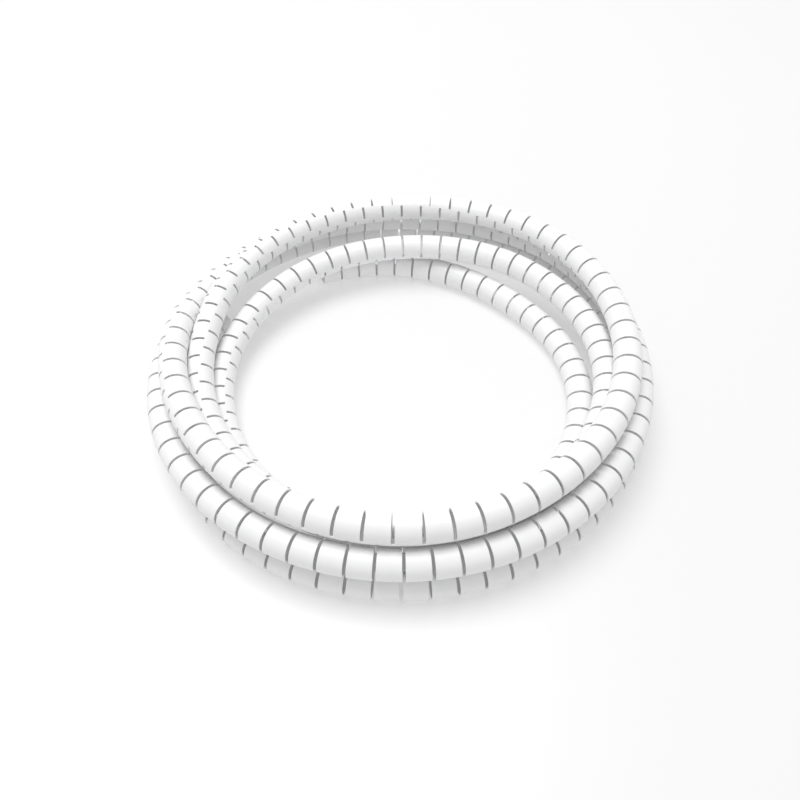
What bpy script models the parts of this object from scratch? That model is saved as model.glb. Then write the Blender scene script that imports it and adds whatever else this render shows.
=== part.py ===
"""A flexible slit cable wrap, lying in a loose coil as it comes out of its bag.

One extruded tube, cut square at both ends. It winds from its inner end, on the floor
at the back, clockwise seen from above, through nearly five turns that lie beside and on
each other. The slits across its wall are fine relief and aren't in this solid.
"""

import bisect
import math

import bmesh
import bpy
from mathutils import Vector

# The tube
TUBE_DIAMETER = 0.020
WALL = 0.0010
TUBE_SIDES = 12

# The lay
TIGHTEST_RADIUS = 0.120
TURN_CLEARANCE = 0.0004
STATIONS_PER_TURN = 28

# The material
TUBE_COLOUR = (0.88, 0.89, 0.90, 1.0)
TUBE_ROUGHNESS = 0.38

# Tubes in touch lie one pitch apart.
PITCH = TUBE_DIAMETER + TURN_CLEARANCE

# Where the tube lies, every eighth of a turn, and closer where it climbs past another.
# Turn 0 is at the back, 0.25 on the right, 0.5 at the front and 0.75 on the left. The lane
# is how far the tube's middle lies outside the tightest radius, and the level how high it
# lies above a tube on the floor, both in pitches.
LAY = (
    (-0.0880, 0.97, 0.00),
    (0.0000, 0.40, 0.00),
    (0.1250, 0.00, 0.00),
    (0.2500, 0.50, 0.00),
    (0.3750, 1.00, 0.00),
    (0.5000, 1.10, 0.00),
    (0.6250, 1.10, 0.00),
    (0.7500, 0.95, 0.30),
    (0.8750, 0.50, 0.80),
    (1.0000, 0.35, 1.05),
    (1.1250, 0.90, 1.05),
    (1.2500, 1.35, 1.00),
    (1.3750, 1.45, 0.95),
    (1.5000, 1.45, 0.95),
    (1.6250, 1.50, 0.95),
    (1.6875, 1.54, 0.98),
    (1.7500, 1.60, 1.15),
    (1.7813, 1.65, 1.36),
    (1.8125, 1.74, 1.56),
    (1.8750, 1.90, 1.70),
    (2.0000, 2.05, 1.82),
    (2.1250, 2.25, 1.95),
    (2.2500, 1.95, 1.95),
    (2.3750, 1.75, 1.95),
    (2.5000, 1.90, 1.90),
    (2.6250, 2.05, 1.90),
    (2.6875, 2.20, 1.82),
    (2.7500, 2.50, 1.60),
    (2.7813, 2.64, 1.40),
    (2.8125, 2.68, 1.16),
    (2.8750, 2.70, 1.04),
    (2.9375, 2.62, 0.98),
    (3.0000, 2.57, 0.92),
    (3.0625, 2.62, 0.96),
    (3.1250, 2.70, 1.05),
    (3.2500, 2.50, 1.05),
    (3.3750, 2.50, 1.05),
    (3.5000, 2.60, 1.05),
    (3.6250, 2.85, 1.05),
    (3.7500, 3.02, 0.65),
    (3.8125, 3.20, 0.22),
    (3.8750, 3.20, 0.05),
    (4.0000, 3.05, 0.00),
    (4.1250, 2.80, 0.00),
    (4.2500, 2.55, 0.00),
    (4.3750, 2.55, 0.00),
    (4.5000, 2.70, 0.00),
    (4.6250, 2.75, 0.00),
    (4.7500, 2.20, 0.00),
    (4.8100, 2.15, 0.00),
)


def clear_scene():
    for obj in list(bpy.data.objects):
        bpy.data.objects.remove(obj, do_unlink=True)


def tube_material():
    material = bpy.data.materials.new("white_polypropylene")
    material.use_nodes = True
    shader = material.node_tree.nodes["Principled BSDF"]
    shader.inputs["Base Color"].default_value = TUBE_COLOUR
    shader.inputs["Roughness"].default_value = TUBE_ROUGHNESS
    shader.inputs["Metallic"].default_value = 0.0
    return material


def smooth_between(turn, column):
    """The lay's lane (column 1) or level (column 2) at a turn position, on a smooth curve
    through the listed places."""
    last = len(LAY) - 1
    turns = [place[0] for place in LAY]
    values = [place[column] for place in LAY]
    i = min(max(bisect.bisect_right(turns, turn) - 1, 0), last - 1)
    slopes = []
    for k in (i, i + 1):
        before = max(k - 1, 0)
        after = min(k + 1, last)
        slopes.append((values[after] - values[before]) / (turns[after] - turns[before]))
    span = turns[i + 1] - turns[i]
    t = (turn - turns[i]) / span
    return (
        (1 + 2 * t) * (1 - t) ** 2 * values[i]
        + t * (1 - t) ** 2 * span * slopes[0]
        + t * t * (3 - 2 * t) * values[i + 1]
        + t * t * (t - 1) * span * slopes[1]
    )


def flat_depth():
    """How far the flat under the tube lies below its middle."""
    return 0.5 * TUBE_DIAMETER * math.cos(math.pi / TUBE_SIDES)


def lay_point(turn):
    """The tube's middle at a turn position, about the coil's own axis."""
    radius = TIGHTEST_RADIUS + smooth_between(turn, 1) * PITCH
    height = flat_depth() + max(smooth_between(turn, 2), 0.0) * PITCH
    angle = 2 * math.pi * turn
    return Vector((radius * math.sin(angle), radius * math.cos(angle), height))


def lay_direction(turn):
    nearby = 1e-4
    return (lay_point(turn + nearby) - lay_point(turn - nearby)).normalized()


def stations():
    first = LAY[0][0]
    last = LAY[-1][0]
    count = max(round((last - first) * STATIONS_PER_TURN), 1)
    return [first + (last - first) * i / count for i in range(count + 1)]


def footprint_middle(points):
    """The middle of the coil's box seen from above, which becomes the origin."""
    xs = [point.x for point in points]
    ys = [point.y for point in points]
    return Vector(((min(xs) + max(xs)) / 2, (min(ys) + max(ys)) / 2, 0.0))


def ring(bm, middle, direction, radius):
    """One ring of the tube's section, square to its run, with a flat side down."""
    side = direction.cross(Vector((0, 0, 1))).normalized()
    up = side.cross(direction)
    verts = []
    for i in range(TUBE_SIDES):
        angle = 2 * math.pi * (i + 0.5) / TUBE_SIDES
        offset = side * math.sin(angle) - up * math.cos(angle)
        verts.append(bm.verts.new(middle + offset * radius))
    return verts


def skin(bm, rings, outward):
    for ring_a, ring_b in zip(rings, rings[1:]):
        for i in range(TUBE_SIDES):
            j = (i + 1) % TUBE_SIDES
            corners = [ring_a[i], ring_a[j], ring_b[j], ring_b[i]]
            bm.faces.new(corners if outward else corners[::-1])


def cut_end(bm, outer, inner, facing_back):
    for i in range(TUBE_SIDES):
        j = (i + 1) % TUBE_SIDES
        corners = [outer[i], inner[i], inner[j], outer[j]]
        bm.faces.new(corners if facing_back else corners[::-1])


def wrap_tube():
    """The tube: its outer skin, its bore and the square cut at each end."""
    bm = bmesh.new()
    places = [(lay_point(turn), lay_direction(turn)) for turn in stations()]
    outer_radius = 0.5 * TUBE_DIAMETER
    outer = [ring(bm, middle, direction, outer_radius) for middle, direction in places]
    inner = [ring(bm, middle, direction, outer_radius - WALL) for middle, direction in places]
    skin(bm, outer, outward=True)
    skin(bm, inner, outward=False)
    cut_end(bm, outer[0], inner[0], facing_back=True)
    cut_end(bm, outer[-1], inner[-1], facing_back=False)
    bmesh.ops.recalc_face_normals(bm, faces=bm.faces)
    mesh = bpy.data.meshes.new("wrap_tube")
    bm.to_mesh(mesh)
    bm.free()
    mesh.shade_smooth()
    mesh.set_sharp_from_angle(angle=math.radians(50))
    tube = bpy.data.objects.new("wrap_tube", mesh)
    tube.location = -footprint_middle([middle for middle, direction in places])
    tube.data.materials.append(tube_material())
    bpy.context.scene.collection.objects.link(tube)
    return tube


clear_scene()
wrap_tube()
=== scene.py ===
"""Dresses the slit cable wrap: the tube with its real slits, the floor, the light and the camera.

Lengths are in metres, but for the camera's lens and sensor, and places are in the part's own
frame. The tube follows the same lay as the solid that it stands for.
"""

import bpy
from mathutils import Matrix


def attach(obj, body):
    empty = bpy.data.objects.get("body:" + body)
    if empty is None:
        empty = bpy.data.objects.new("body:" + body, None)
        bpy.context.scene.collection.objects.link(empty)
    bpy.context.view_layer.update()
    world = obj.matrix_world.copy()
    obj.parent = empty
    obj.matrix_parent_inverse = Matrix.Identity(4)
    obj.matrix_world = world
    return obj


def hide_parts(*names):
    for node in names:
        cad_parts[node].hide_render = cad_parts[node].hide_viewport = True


bl_info = {
    "name": "Slit Cable Wrap",
    "version": (1, 0, 0),
    "blender": (4, 5, 0),
    "location": "3D View > Sidebar > Cable Wrap",
    "description": "Makes a coiled, slit cable wrap tube and a pale studio around it",
    "category": "Object",
}

import bisect
import math

import bpy
import numpy as np
from bpy.props import FloatProperty, FloatVectorProperty, IntProperty, PointerProperty
from mathutils import Vector

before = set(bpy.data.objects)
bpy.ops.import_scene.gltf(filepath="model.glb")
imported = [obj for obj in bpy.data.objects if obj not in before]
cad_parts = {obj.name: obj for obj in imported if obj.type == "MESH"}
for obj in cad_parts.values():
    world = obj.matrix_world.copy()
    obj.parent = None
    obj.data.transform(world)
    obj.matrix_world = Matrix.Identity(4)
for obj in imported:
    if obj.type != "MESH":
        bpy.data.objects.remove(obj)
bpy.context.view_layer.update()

# Where the tube lies, every eighth of a turn, and closer where it climbs past another.
# Turn 0 is at the back, 0.25 on the right, 0.5 at the front and 0.75 on the left. The lane
# is how far the tube's middle lies outside the tightest radius, and the level how high it
# lies above a tube on the floor, both in pitches. The middles of two tubes in touch lie one
# pitch apart.
LAY = (
    (-0.0880, 0.97, 0.00),
    (0.0000, 0.40, 0.00),
    (0.1250, 0.00, 0.00),
    (0.2500, 0.50, 0.00),
    (0.3750, 1.00, 0.00),
    (0.5000, 1.10, 0.00),
    (0.6250, 1.10, 0.00),
    (0.7500, 0.95, 0.30),
    (0.8750, 0.50, 0.80),
    (1.0000, 0.35, 1.05),
    (1.1250, 0.90, 1.05),
    (1.2500, 1.35, 1.00),
    (1.3750, 1.45, 0.95),
    (1.5000, 1.45, 0.95),
    (1.6250, 1.50, 0.95),
    (1.6875, 1.54, 0.98),
    (1.7500, 1.60, 1.15),
    (1.7813, 1.65, 1.36),
    (1.8125, 1.74, 1.56),
    (1.8750, 1.90, 1.70),
    (2.0000, 2.05, 1.82),
    (2.1250, 2.25, 1.95),
    (2.2500, 1.95, 1.95),
    (2.3750, 1.75, 1.95),
    (2.5000, 1.90, 1.90),
    (2.6250, 2.05, 1.90),
    (2.6875, 2.20, 1.82),
    (2.7500, 2.50, 1.60),
    (2.7813, 2.64, 1.40),
    (2.8125, 2.68, 1.16),
    (2.8750, 2.70, 1.04),
    (2.9375, 2.62, 0.98),
    (3.0000, 2.57, 0.92),
    (3.0625, 2.62, 0.96),
    (3.1250, 2.70, 1.05),
    (3.2500, 2.50, 1.05),
    (3.3750, 2.50, 1.05),
    (3.5000, 2.60, 1.05),
    (3.6250, 2.85, 1.05),
    (3.7500, 3.02, 0.65),
    (3.8125, 3.20, 0.22),
    (3.8750, 3.20, 0.05),
    (4.0000, 3.05, 0.00),
    (4.1250, 2.80, 0.00),
    (4.2500, 2.55, 0.00),
    (4.3750, 2.55, 0.00),
    (4.5000, 2.70, 0.00),
    (4.6250, 2.75, 0.00),
    (4.7500, 2.20, 0.00),
    (4.8100, 2.15, 0.00),
)

# How the tube is twisted and stretched on its way: the bridge's place round it in degrees,
# from the inside of the bend upwards, and the slit pitch there as a share of the usual one.
WINDING = (
    (-0.0880, 264, 0.970),
    (0.1000, 225, 0.970),
    (0.2500, 199, 0.970),
    (0.5000, 110, 0.948),
    (0.7000, 31, 0.965),
    (0.8000, 11, 0.965),
    (0.9000, -30, 0.965),
    (1.0000, -58, 0.965),
    (1.1000, -99, 0.965),
    (1.2000, -121, 0.970),
    (1.3000, -132, 0.975),
    (1.4500, -174, 1.025),
    (1.6000, -218, 1.000),
    (1.7000, -237, 0.985),
    (1.8000, -279, 0.990),
    (1.9000, -316, 1.017),
    (2.0000, -346, 1.022),
    (2.1000, -382, 1.022),
    (2.2500, -424, 1.042),
    (2.5000, -493, 1.014),
    (2.6250, -523, 0.977),
    (2.7500, -576, 1.045),
    (2.8750, -602, 1.030),
    (3.0000, -640, 1.015),
    (3.3000, -724, 1.005),
    (3.5000, -771, 0.997),
    (4.0000, -915, 1.005),
    (4.5000, -1046, 0.985),
    (4.8100, -1130, 0.985),
)


class WrapTubeSettings(bpy.types.PropertyGroup):
    """The tube's section, its slits and how it is wound."""

    diameter: FloatProperty(
        name="Diameter", description="Outside of the tube", default=0.020, unit="LENGTH"
    )
    wall: FloatProperty(name="Wall", description="Thickness of the wall", default=0.0010, unit="LENGTH")
    tightest_radius: FloatProperty(
        name="Tightest radius", description="Of the innermost turn's middle", default=0.120, unit="LENGTH"
    )
    turn_clearance: FloatProperty(
        name="Turn clearance", description="Between tubes that touch", default=0.0004, unit="LENGTH"
    )
    slit_pitch: FloatProperty(
        name="Slit pitch", description="From one long slit to the next", default=0.0170, unit="LENGTH"
    )
    first_slit: FloatProperty(
        name="First slit", description="From the inner end to the first long slit",
        default=0.0165, unit="LENGTH",
    )
    slit_width: FloatProperty(
        name="Slit width", description="Of the cut, measured on the tube's middle line",
        default=0.0020, unit="LENGTH",
    )
    slit_spread: FloatProperty(
        name="Slit spread",
        description="How much wider a slit gapes outside the bend, and how much it closes inside, as a share",
        default=0.10,
    )
    bridge_angle: FloatProperty(
        name="Bridge angle", description="Of the wall that a long slit leaves whole",
        default=math.radians(72), subtype="ANGLE",
    )
    short_slit_angle: FloatProperty(
        name="Short slit angle", description="Of the slit that is cut into the bridge",
        default=math.radians(62), subtype="ANGLE",
    )
    upper_web_angle: FloatProperty(
        name="Upper web angle", description="From a short slit's upper end to the long slits' ends",
        default=math.radians(3), subtype="ANGLE",
    )
    ring_jitter: FloatProperty(
        name="Ring jitter", description="How unevenly the slits' ends are cut",
        default=math.radians(1.2), subtype="ANGLE",
    )
    seed: IntProperty(name="Seed", description="Of the unevenness", default=7)


class PlasticSettings(bpy.types.PropertyGroup):
    """The white polypropylene."""

    colour: FloatVectorProperty(
        name="Colour", description="Of the plastic",
        default=(0.89, 0.89, 0.895), subtype="COLOR", min=0, max=1,
    )
    roughness: FloatProperty(
        name="Roughness", description="Of the extruded skin", default=0.36, min=0, max=1
    )
    bore_roughness: FloatProperty(
        name="Bore roughness", description="Of the inner skin", default=0.55, min=0, max=1
    )
    translucency: FloatProperty(
        name="Translucency", description="Share of the light that goes under the skin",
        default=0.12, min=0, max=1,
    )
    # Painted shade: the inner skin's colour is taken down to stand in for the shade inside the tube.
    bore_shade: FloatProperty(
        name="Bore shade", description="Brightness of the inner skin, as a share of the colour",
        default=0.90, min=0, max=1,
    )
    # Painted light: the inner skin glows, though it is no lamp, to stand in for light that comes through the
    # thin wall.
    bore_glow: FloatProperty(
        name="Bore glow", description="Of the light that comes in through the thin wall", default=0.05
    )
    grain_height: FloatProperty(
        name="Grain height", description="Of the fine grain in the skin",
        default=0.00002, unit="LENGTH",
    )


class StudioSettings(bpy.types.PropertyGroup):
    """The floor, the light and the camera."""

    floor_colour: FloatVectorProperty(
        name="Floor colour", description="Of the pale floor",
        default=(0.50, 0.50, 0.50), subtype="COLOR", min=0, max=1,
    )
    floor_roughness: FloatProperty(
        name="Floor roughness", description="Of the pale floor", default=0.35, min=0, max=1
    )
    floor_glow: FloatProperty(
        name="Floor glow", description="Of the light table, lit from below", default=0.37
    )
    floor_size: FloatProperty(
        name="Floor size", description="Side of the floor", default=12.0, unit="LENGTH"
    )
    sky_strength: FloatProperty(
        name="Sky strength", description="Of the even light all round", default=0.66
    )
    key_power: FloatProperty(
        name="Key power", description="Of the large lamp overhead, in watts", default=40.0
    )
    key_size: FloatProperty(name="Key size", description="Across the lamp", default=1.8, unit="LENGTH")
    key_place: FloatVectorProperty(
        name="Key place", description="Where the lamp hangs, facing the coil",
        default=(-0.45, 0.60, 2.40), subtype="XYZ",
    )
    elevation: FloatProperty(
        name="Elevation", description="How far the camera looks down",
        default=math.radians(50), subtype="ANGLE",
    )
    distance: FloatProperty(
        name="Distance", description="From the camera to the point it looks at",
        default=0.555, unit="LENGTH",
    )
    lens: FloatProperty(name="Lens", description="Focal length, in millimetres", default=32.6)
    aim: FloatVectorProperty(
        name="Aim", description="The point on the floor that the camera looks at",
        default=(0.0003, -0.0220, 0.0), subtype="XYZ",
    )


class Maths:
    """A shader socket that Python's own arithmetic works on."""

    def __init__(self, tree, socket):
        self.tree = tree
        self.socket = socket

    def _maths(self, operation, first, second=None):
        node = self.tree.nodes.new("ShaderNodeMath")
        node.operation = operation
        for slot, value in enumerate((first, second)):
            if isinstance(value, Maths):
                self.tree.links.new(value.socket, node.inputs[slot])
            elif value is not None:
                node.inputs[slot].default_value = value
        return Maths(self.tree, node.outputs[0])

    def __add__(self, other):
        return self._maths("ADD", self, other)

    def __radd__(self, other):
        return self._maths("ADD", other, self)

    def __sub__(self, other):
        return self._maths("SUBTRACT", self, other)

    def __rsub__(self, other):
        return self._maths("SUBTRACT", other, self)

    def __mul__(self, other):
        return self._maths("MULTIPLY", self, other)

    def __rmul__(self, other):
        return self._maths("MULTIPLY", other, self)


class Recipe:
    """A material and the nodes that it is mixed from."""

    def __init__(self, name):
        self.material = bpy.data.materials.new(name)
        self.material.use_nodes = True
        self.tree = self.material.node_tree
        self.shader = self.tree.nodes["Principled BSDF"]

    def node(self, kind, output=0, settings=None, **values):
        """Any node but a Math one: its settings first, then the values or links of its sockets."""
        made = self.tree.nodes.new(kind)
        for name, value in (settings or {}).items():
            setattr(made, name, value)
        for name, value in values.items():
            self.plug(self.socket(made, name), value)
        return Maths(self.tree, made.outputs[output])

    def socket(self, node, name):
        """A node's input by its identifier, or by its label with a _ for each space."""
        by_identifier = {one.identifier: one for one in node.inputs}
        return by_identifier.get(name) or node.inputs[name.replace("_", " ")]

    def plug(self, socket, value):
        if isinstance(value, Maths):
            self.tree.links.new(value.socket, socket)
        else:
            socket.default_value = value

    def finish(self, **values):
        for name, value in values.items():
            self.plug(self.socket(self.shader, name), value)
        return self.material


def smooth_between(table, turn, column):
    """A table's value at a turn position, on a smooth curve through the listed places."""
    last = len(table) - 1
    turns = [place[0] for place in table]
    values = [place[column] for place in table]
    i = min(max(bisect.bisect_right(turns, turn) - 1, 0), last - 1)
    slopes = []
    for k in (i, i + 1):
        before = max(k - 1, 0)
        after = min(k + 1, last)
        slopes.append((values[after] - values[before]) / (turns[after] - turns[before]))
    span = turns[i + 1] - turns[i]
    t = (turn - turns[i]) / span
    return (
        (1 + 2 * t) * (1 - t) ** 2 * values[i]
        + t * (1 - t) ** 2 * span * slopes[0]
        + t * t * (3 - 2 * t) * values[i + 1]
        + t * t * (t - 1) * span * slopes[1]
    )


class Route:
    """The tube's middle line, read by the length run from the inner end."""

    STEPS_PER_TURN = 360

    def __init__(self, tube):
        self.tube = tube
        first, last = LAY[0][0], LAY[-1][0]
        count = round((last - first) * self.STEPS_PER_TURN)
        self.turns = np.linspace(first, last, count + 1)
        points = np.array([self.lay_point(turn) for turn in self.turns])
        lowest, highest = points.min(axis=0), points.max(axis=0)
        points[:, :2] -= (lowest[:2] + highest[:2]) / 2
        self.points = points
        steps = np.linalg.norm(np.diff(points, axis=0), axis=1)
        self.runs = np.concatenate([[0.0], np.cumsum(steps)])
        self.length = float(self.runs[-1])
        self.directions = np.gradient(points, self.runs, axis=0)

    def lay_point(self, turn):
        pitch = self.tube.diameter + self.tube.turn_clearance
        radius = self.tube.tightest_radius + smooth_between(LAY, turn, 1) * pitch
        height = 0.5 * self.tube.diameter + max(smooth_between(LAY, turn, 2), 0.0) * pitch
        angle = 2 * math.pi * turn
        return (radius * math.sin(angle), radius * math.cos(angle), height)

    def turn_at(self, run):
        return float(np.interp(run, self.runs, self.turns))

    def point_at(self, run):
        return np.array([np.interp(run, self.runs, self.points[:, axis]) for axis in range(3)])

    def frame_at(self, run):
        """The middle, the run's direction, the way into the bend and the way up, at a run."""
        direction = np.array([np.interp(run, self.runs, self.directions[:, axis]) for axis in range(3)])
        direction /= np.linalg.norm(direction)
        inward = np.cross(direction, (0.0, 0.0, 1.0))
        inward /= np.linalg.norm(inward)
        return self.point_at(run), direction, inward, np.cross(inward, direction)


LONG, SHORT, WHOLE = "long slit", "short slit", "whole wall"


class SlitTube:
    """The tube's mesh: rings of corners along the run, with the wall left out where it is slit."""

    # How many columns of corners each stretch round the tube has.
    LONG_COLUMNS = 26
    SHORT_COLUMNS = 5
    LOWER_WEB_COLUMNS = 2
    # How many slit widths a slit's middle keeps from the outer end, at the least.
    END_MARGIN = 2
    # An edge is sharp where the faces beside it turn by more than this.
    SHARP_FROM = math.radians(40)

    def __init__(self, tube, route):
        self.tube = tube
        self.route = route
        self.random = np.random.default_rng(tube.seed)
        self.angles = self.column_angles()
        self.columns = len(self.angles)
        self.corners = []
        self.middles = []
        self.spans = []
        self.faces = []
        self.bore_faces = []

    def column_angles(self):
        """Where the columns of corners stand round the tube, from the bridge's middle. They meet
        each slit's ends."""
        half_bridge = self.tube.bridge_angle / 2
        short_top = half_bridge - self.tube.upper_web_angle
        short_bottom = short_top - self.tube.short_slit_angle
        lower_web = np.linspace(-half_bridge, short_bottom, self.LOWER_WEB_COLUMNS, endpoint=False)
        short = np.linspace(short_bottom, short_top, self.SHORT_COLUMNS, endpoint=False)
        upper_web = [short_top]
        long_slit = np.linspace(half_bridge, 2 * math.pi - half_bridge, self.LONG_COLUMNS, endpoint=False)
        return np.concatenate([lower_web, short, upper_web, long_slit])

    def open_columns(self, span):
        """Which stretches between columns have no wall."""
        missing = np.zeros(self.columns, bool)
        if span == LONG:
            missing[self.columns - self.LONG_COLUMNS:] = True
        elif span == SHORT:
            missing[self.LOWER_WEB_COLUMNS:self.LOWER_WEB_COLUMNS + self.SHORT_COLUMNS] = True
        return missing

    def add_ring(self, run, side, span, slip=0.0):
        """One ring of outer and inner corners. Side is -1 or 1 for a slit's two edges and 0 for
        the tube's ends, span says what lies between this ring and the next, and slip turns the
        ring a little."""
        tube = self.tube
        middle, direction, inward, up = self.route.frame_at(run)
        bridge = smooth_between(WINDING, self.route.turn_at(run), 1)
        angles = self.angles + math.radians(bridge) + slip
        offsets = np.outer(np.cos(angles), inward) + np.outer(np.sin(angles), up)
        gape = 0.5 * tube.slit_width * (1 - tube.slit_spread * np.cos(angles))
        along = np.outer(side * gape, direction)
        outer = middle + 0.5 * tube.diameter * offsets + along
        inner = middle + (0.5 * tube.diameter - tube.wall) * offsets + along
        self.corners.append(np.concatenate([outer, inner]))
        self.middles.append(middle + 0.5 * side * tube.slit_width * direction)
        self.spans.append(span)

    def add_rings(self):
        self.add_ring(0.0, 0, WHOLE)
        run = self.tube.first_slit
        margin = self.END_MARGIN * self.tube.slit_width
        kind = LONG
        while run < self.route.length - margin:
            slip = self.random.normal(0.0, self.tube.ring_jitter)
            self.add_ring(run, -1, kind, slip)
            self.add_ring(run, 1, WHOLE, slip)
            stretch = smooth_between(WINDING, self.route.turn_at(run), 2)
            run += 0.5 * self.tube.slit_pitch * stretch
            kind = SHORT if kind == LONG else LONG
        self.add_ring(self.route.length, 0, None)

    def corner(self, ring, column, inside):
        return ring * 2 * self.columns + (self.columns if inside else 0) + column % self.columns

    def add_span(self, ring, span):
        """The walls between a ring and the next, and the sides of the slit between them."""
        missing = self.open_columns(span)
        for column in range(self.columns):
            here = [self.corner(ring, column, inside) for inside in (False, True)]
            beside = [self.corner(ring, column + 1, inside) for inside in (False, True)]
            ahead = [self.corner(ring + 1, column, inside) for inside in (False, True)]
            across = [self.corner(ring + 1, column + 1, inside) for inside in (False, True)]
            if missing[column]:
                self.faces.append((here[0], here[1], beside[1], beside[0]))
                self.faces.append((ahead[0], across[0], across[1], ahead[1]))
            else:
                self.faces.append((here[0], beside[0], across[0], ahead[0]))
                self.bore_faces.append(len(self.faces))
                self.faces.append((here[1], ahead[1], across[1], beside[1]))
            if missing[column] and not missing[column - 1]:
                self.faces.append((here[0], ahead[0], ahead[1], here[1]))
            elif missing[column - 1] and not missing[column]:
                self.faces.append((here[0], here[1], ahead[1], ahead[0]))

    def add_end(self, ring, flip):
        for column in range(self.columns):
            face = (
                self.corner(ring, column, False), self.corner(ring, column, True),
                self.corner(ring, column + 1, True), self.corner(ring, column + 1, False),
            )
            self.faces.append(face[::-1] if flip else face)

    def mesh(self, name, materials):
        self.add_rings()
        for ring, span in enumerate(self.spans[:-1]):
            self.add_span(ring, span)
        self.add_end(0, flip=True)
        self.add_end(len(self.spans) - 1, flip=False)
        mesh = bpy.data.meshes.new(name)
        mesh.from_pydata(np.concatenate(self.corners).tolist(), [], self.faces)
        for material in materials:
            mesh.materials.append(material)
        in_bore = np.zeros(len(self.faces), np.int32)
        in_bore[self.bore_faces] = 1
        mesh.polygons.foreach_set("material_index", in_bore)
        mesh.shade_smooth()
        mesh.set_sharp_from_angle(angle=self.SHARP_FROM)
        return mesh


# The middle of a noise that runs from 0 to 1.
NOISE_MIDDLE = 0.5
# The outer skin's soft mottle: patches in a metre, the share of the colour that the darkest
# would keep, and the whole range of roughness between them.
MOTTLE_SCALE = 90.0
MOTTLE_SHADE = 0.985
MOTTLE_ROUGHNESS = 0.10
# Its fine grain: bumps in a metre, and how strongly they show.
GRAIN_SCALE = 900.0
GRAIN_STRENGTH = 0.25
# The bore's mottle: patches in a metre, and the share of the colour that the darkest would keep.
BORE_MOTTLE_SCALE = 400.0
BORE_MOTTLE_SHADE = 0.9
# How deep red, green and blue light goes under the skin, in metres.
LIGHT_REACH = (0.0020, 0.0019, 0.0018)
WHITE = (1.0, 1.0, 1.0, 1.0)


def shaded(colour, share):
    """A colour with its brightness taken down to a share, and opaque."""
    return (*[share * part for part in colour], 1.0)


def blend(recipe, factor, first, second):
    """A colour that goes from the first to the second as the factor goes from 0 to 1."""
    return recipe.node(
        "ShaderNodeMix",
        output=2,
        settings={"data_type": "RGBA"},
        Factor_Float=factor,
        A_Color=first,
        B_Color=second,
    )


def polypropylene(plastic):
    """White extruded polypropylene: satin, with a fine grain and a soft mottle."""
    recipe = Recipe("white_polypropylene")
    place = recipe.node("ShaderNodeTexCoord", output="Object")
    mottle = recipe.node(
        "ShaderNodeTexNoise", output="Fac", Vector=place, Scale=MOTTLE_SCALE, Detail=4.0, Roughness=0.55
    )
    grain = recipe.node(
        "ShaderNodeTexNoise", output="Fac", Vector=place, Scale=GRAIN_SCALE, Detail=2.0, Roughness=0.6
    )
    roughness = plastic.roughness + MOTTLE_ROUGHNESS * (mottle - NOISE_MIDDLE)
    shade = blend(recipe, mottle, shaded(plastic.colour, 1.0), shaded(plastic.colour, MOTTLE_SHADE))
    bump = recipe.node(
        "ShaderNodeBump", Strength=GRAIN_STRENGTH, Distance=plastic.grain_height, Height=grain
    )
    return recipe.finish(
        Base_Color=shade,
        Roughness=roughness,
        Normal=bump,
        Subsurface_Weight=plastic.translucency,
        Subsurface_Radius=LIGHT_REACH,
        Subsurface_Scale=1.0,
    )


def dim_bore(plastic):
    """The same plastic inside the tube: duller, mottled, darkened as painted shade and given a painted
    glow for the light that comes a little through the wall.
    """
    recipe = Recipe("polypropylene_bore")
    place = recipe.node("ShaderNodeTexCoord", output="Object")
    mottle = recipe.node(
        "ShaderNodeTexNoise", output="Fac", Vector=place, Scale=BORE_MOTTLE_SCALE, Detail=3.0
    )
    # Painted shade: the bore's colour is darkened by bore_shade to stand in for the shade inside the tube.
    lighter = shaded(plastic.colour, plastic.bore_shade)
    darker = shaded(plastic.colour, BORE_MOTTLE_SHADE * plastic.bore_shade)
    return recipe.finish(
        Base_Color=blend(recipe, mottle, lighter, darker),
        Roughness=plastic.bore_roughness,
        # Painted glow, standing in for the light that comes in through the thin wall.
        Emission_Color=WHITE,
        Emission_Strength=plastic.bore_glow,
    )


def floor_paint(studio):
    recipe = Recipe("pale_floor")
    return recipe.finish(
        Base_Color=(*studio.floor_colour, 1.0),
        Roughness=studio.floor_roughness,
        Emission_Color=WHITE,
        Emission_Strength=studio.floor_glow,
    )


class CABLEWRAP_OT_tube(bpy.types.Operator):
    """The whole slit tube, coiled on the floor"""

    bl_idname = "cablewrap.tube"
    bl_label = "Tube"

    def execute(self, context):
        tube = context.scene.wrap_tube
        route = Route(tube)
        shape = SlitTube(tube, route)
        plastic = context.scene.wrap_plastic
        mesh = shape.mesh("slit_tube", [polypropylene(plastic), dim_bore(plastic)])
        piece = bpy.data.objects.new("slit_tube", mesh)
        context.scene.collection.objects.link(piece)
        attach(piece, "root")
        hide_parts("wrap_tube")
        return {"FINISHED"}


# The camera's sensor, in millimetres, and the nearest that it still sees, in metres.
SENSOR_WIDTH = 36.0
NEAREST_SEEN = 0.01


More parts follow.
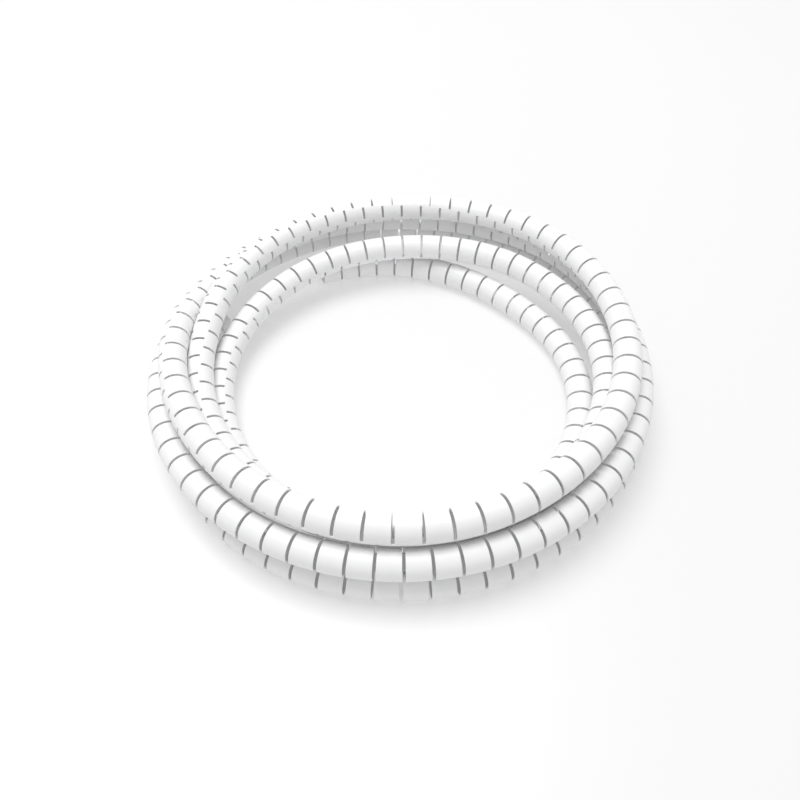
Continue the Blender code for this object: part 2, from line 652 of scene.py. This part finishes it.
class CABLEWRAP_OT_studio(bpy.types.Operator):
    """The pale floor, the soft light and the camera"""

    bl_idname = "cablewrap.studio"
    bl_label = "Studio"

    def execute(self, context):
        scene = context.scene
        studio = scene.wrap_studio
        self.add_camera(scene, studio)
        self.add_floor(scene, studio)
        self.add_light(scene, studio)
        scene.view_settings.view_transform = "Standard"
        return {"FINISHED"}

    def add_camera(self, scene, studio):
        data = bpy.data.cameras.new("camera")
        data.lens = studio.lens
        data.sensor_width = SENSOR_WIDTH
        data.clip_start = NEAREST_SEEN
        camera = bpy.data.objects.new("camera", data)
        back = Vector((0.0, -math.cos(studio.elevation), math.sin(studio.elevation)))
        camera.location = Vector(studio.aim) + studio.distance * back
        camera.rotation_euler = (math.pi / 2 - studio.elevation, 0.0, 0.0)
        scene.collection.objects.link(camera)
        scene.camera = camera

    def add_floor(self, scene, studio):
        half = studio.floor_size / 2
        corners = [(-half, -half, 0.0), (half, -half, 0.0), (half, half, 0.0), (-half, half, 0.0)]
        mesh = bpy.data.meshes.new("floor")
        mesh.from_pydata(corners, [], [(0, 1, 2, 3)])
        mesh.materials.append(floor_paint(studio))
        floor = bpy.data.objects.new("floor", mesh)
        scene.collection.objects.link(floor)

    def add_light(self, scene, studio):
        world = bpy.data.worlds.new("studio_sky")
        world.use_nodes = True
        sky = world.node_tree.nodes["Background"]
        sky.inputs["Color"].default_value = WHITE
        sky.inputs["Strength"].default_value = studio.sky_strength
        scene.world = world
        data = bpy.data.lights.new("key", "AREA")
        data.shape = "DISK"
        data.size = studio.key_size
        data.energy = studio.key_power
        key = bpy.data.objects.new("key", data)
        key.location = studio.key_place
        key.rotation_euler = (-key.location).to_track_quat("-Z", "Y").to_euler()
        scene.collection.objects.link(key)


class CABLEWRAP_PT_panel(bpy.types.Panel):
    """Shows the settings of the tube, the plastic and the studio, and the buttons that make them"""

    bl_idname = "CABLEWRAP_PT_panel"
    bl_label = "Cable Wrap"
    bl_space_type = "VIEW_3D"
    bl_region_type = "UI"
    bl_category = "Cable Wrap"

    def draw(self, context):
        for group in (context.scene.wrap_tube, context.scene.wrap_plastic, context.scene.wrap_studio):
            box = self.layout.box()
            for name in group.__annotations__:
                box.prop(group, name)
        for operator in OPERATORS:
            self.layout.operator(operator.bl_idname)


SETTINGS = {
    "wrap_tube": WrapTubeSettings,
    "wrap_plastic": PlasticSettings,
    "wrap_studio": StudioSettings,
}
OPERATORS = (CABLEWRAP_OT_studio, CABLEWRAP_OT_tube)
CLASSES = (*SETTINGS.values(), *OPERATORS, CABLEWRAP_PT_panel)


def register():
    for cls in CLASSES:
        bpy.utils.register_class(cls)
    for name, group in SETTINGS.items():
        setattr(bpy.types.Scene, name, PointerProperty(type=group))


def unregister():
    for name in SETTINGS:
        delattr(bpy.types.Scene, name)
    for cls in reversed(CLASSES):
        bpy.utils.unregister_class(cls)


def main():
    register()
    bpy.ops.cablewrap.studio()
    bpy.ops.cablewrap.tube()


if __name__ == "__main__":
    main()
